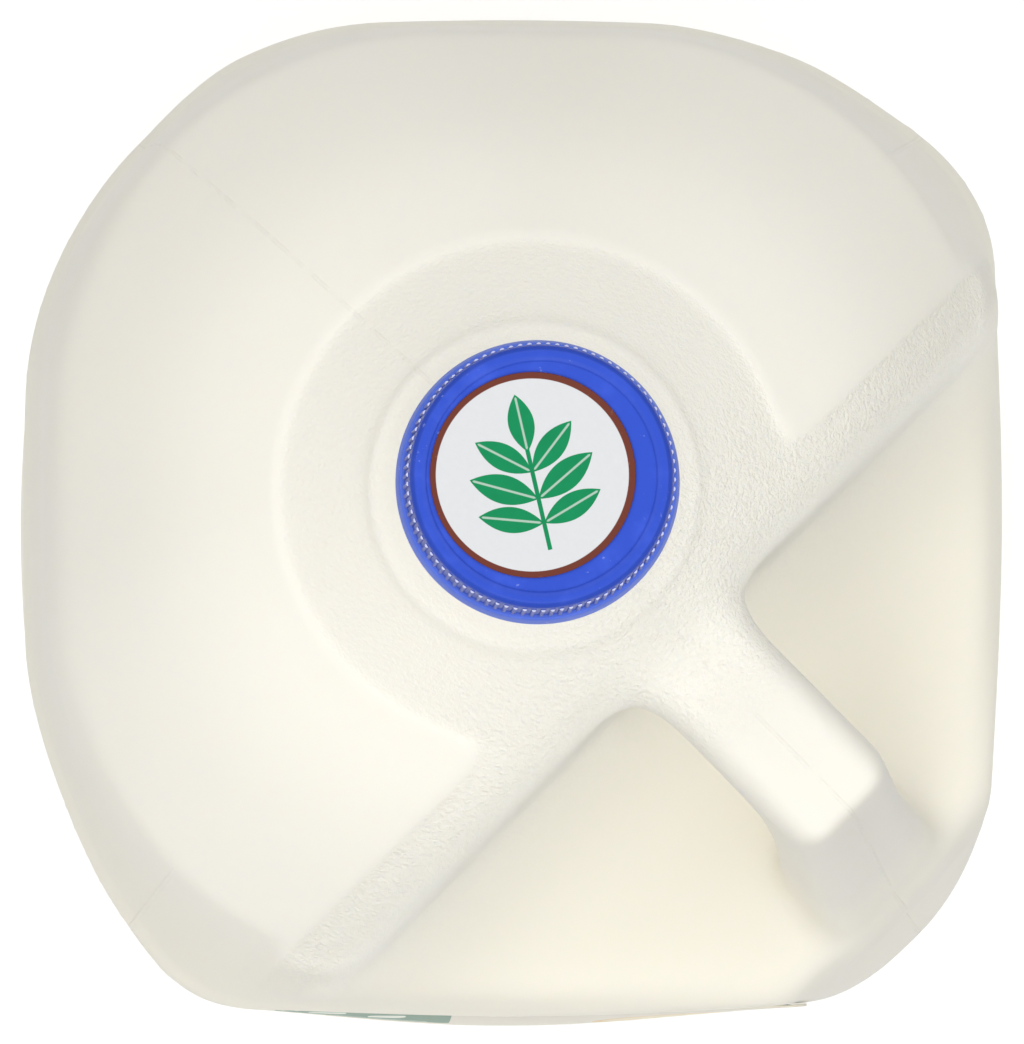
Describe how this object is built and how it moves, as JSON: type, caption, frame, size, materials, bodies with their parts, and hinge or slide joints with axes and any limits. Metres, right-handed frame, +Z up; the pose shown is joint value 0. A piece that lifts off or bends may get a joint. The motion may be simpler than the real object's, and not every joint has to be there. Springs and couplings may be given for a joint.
{
  "type": "plastic milk jug",
  "caption": "Full one-gallon blow-moulded milk jug with a corner handle, shoulder hollows, blue ribbed screw cap with tamper band, printed cap seal and front label.",
  "frame": {"origin": "middle of the footprint's bounding box on the standing plane; the neck's axis is 4.5 mm behind it, at X = -4.5 mm", "axes": "+Z up through the neck; +X towards the corner that carries the handle; the square faces look half way between X and Y, and the front label's face looks towards +X-Y"},
  "size_m": [0.1756, 0.1771, 0.2538],
  "materials": {
    "milk_white": "cream-white polythene, satin, stippled round the neck",
    "cap_blue": "blue polythene, satin gloss",
    "band_blue": "blue polythene, thin and a little clear at its rim",
    "seal_print": "printed paper disc, white and green with a brown rim",
    "label_print": "printed paper label, cream with green and blue fields"
  },
  "bodies": {
    "root": {"jug": "milk_white", "cap": "cap_blue", "tamper_band": "band_blue", "cap_seal": "seal_print", "label_front": "label_print"}
  },
  "joints": []
}
